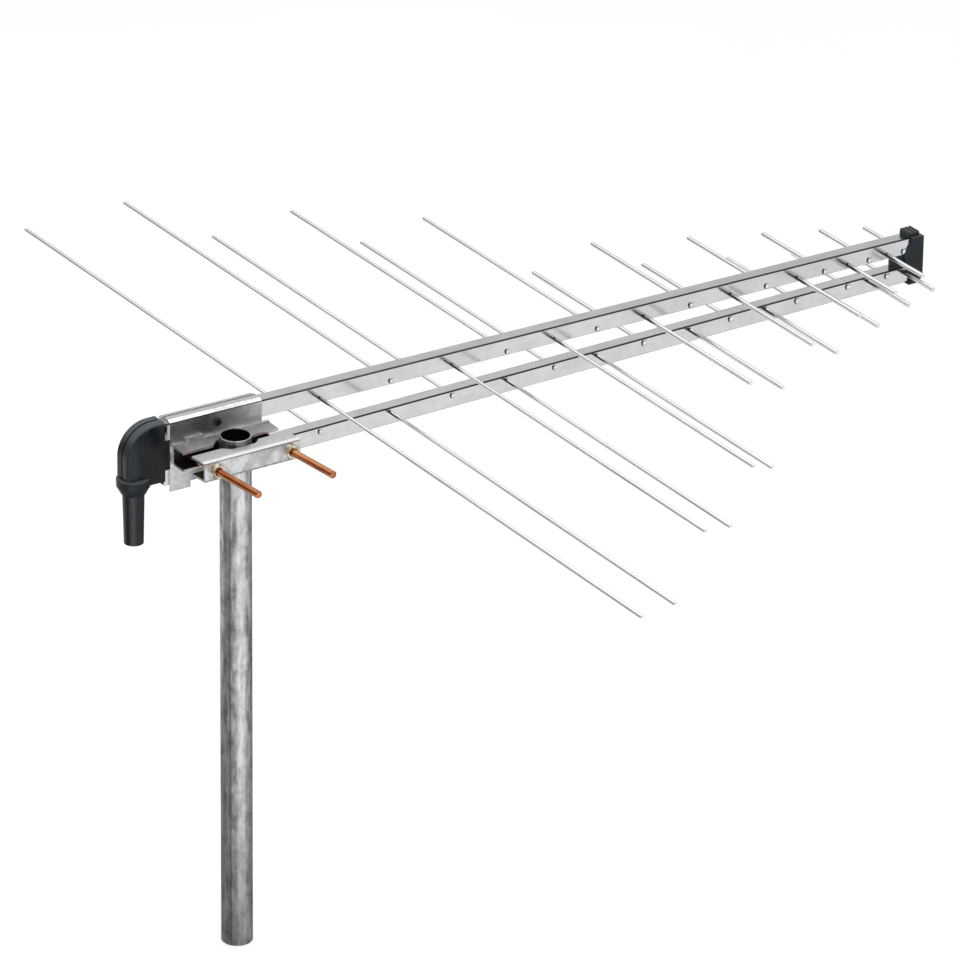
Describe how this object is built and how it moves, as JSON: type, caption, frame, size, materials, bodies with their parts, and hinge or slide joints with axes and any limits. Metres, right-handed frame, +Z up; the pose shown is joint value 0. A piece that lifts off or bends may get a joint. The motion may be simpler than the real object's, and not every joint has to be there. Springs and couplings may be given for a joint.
{
  "type": "log periodic antenna",
  "caption": "Twin-boom log periodic antenna with alternating tapering rods, a rear cable housing with a downward sleeve, a front cap and a bolted clamp on a short round mast.",
  "frame": {"origin": "centre of the mast's foot, on the plane of its lower cut", "axes": "+Z up the mast, +X along the booms from the mast toward the short rods, Y along the rods with the clamp on the -Y side of the booms"},
  "size_m": [0.7503, 0.896, 0.4517],
  "materials": {
    "galvanised_tube": "hot-dip galvanised, mottled",
    "boom_aluminium": "bright drawn, smooth",
    "rod_aluminium": "plain drawn",
    "plate_aluminium": "bright pressed, lightly scuffed",
    "clamp_steel": "zinc plated, blotchy",
    "screw_steel": "darkened, satin",
    "bolt_plating": "copper-coloured passivated zinc, satin",
    "nut_plating": "pale yellow passivated zinc",
    "housing_plastic": "black, moulded, fine grain",
    "sleeve_rubber": "black, smooth, soft sheen",
    "socket_nickel": "nickel plated",
    "feeder_jacket": "pale jacket",
    "feed_copper": "bare copper",
    "terminal_brass": "machined brass",
    "cap_plastic": "black, moulded, fine grain"
  },
  "bodies": {
    "root": {"mast_tube": "galvanised_tube", "upper_boom": "boom_aluminium", "lower_boom": "boom_aluminium", "mounting_plate": "plate_aluminium", "plate_screw_upper": "screw_steel", "plate_screw_lower": "screw_steel", "fixed_jaw": "clamp_steel", "moving_jaw": "clamp_steel", "clamp_bolt_rear": "bolt_plating", "clamp_bolt_front": "bolt_plating", "clamp_nut_rear": "nut_plating", "clamp_nut_front": "nut_plating", "housing_near": "housing_plastic", "housing_far": "housing_plastic", "weather_sleeve": "sleeve_rubber", "cable_socket": "socket_nickel", "feeder_cable": "feeder_jacket", "feed_link": "feed_copper", "feed_terminal": "terminal_brass", "front_cap": "cap_plastic", "rod_01_near": "rod_aluminium", "rod_01_far": "rod_aluminium", "rod_02_near": "rod_aluminium", "rod_02_far": "rod_aluminium", "rod_03_near": "rod_aluminium", "rod_03_far": "rod_aluminium", "rod_04_near": "rod_aluminium", "rod_04_far": "rod_aluminium", "rod_05_near": "rod_aluminium", "rod_05_far": "rod_aluminium", "rod_06_near": "rod_aluminium", "rod_06_far": "rod_aluminium", "rod_07_near": "rod_aluminium", "rod_07_far": "rod_aluminium", "rod_08_near": "rod_aluminium", "rod_08_far": "rod_aluminium", "rod_09_near": "rod_aluminium", "rod_09_far": "rod_aluminium", "rod_10_near": "rod_aluminium", "rod_10_far": "rod_aluminium", "rod_11_near": "rod_aluminium", "rod_11_far": "rod_aluminium", "rod_12_near": "rod_aluminium", "rod_12_far": "rod_aluminium", "rod_13_near": "rod_aluminium", "rod_13_far": "rod_aluminium", "rod_14_near": "rod_aluminium", "rod_14_far": "rod_aluminium", "rod_15_near": "rod_aluminium", "rod_15_far": "rod_aluminium", "rod_16_near": "rod_aluminium", "rod_16_far": "rod_aluminium"}
  },
  "joints": []
}
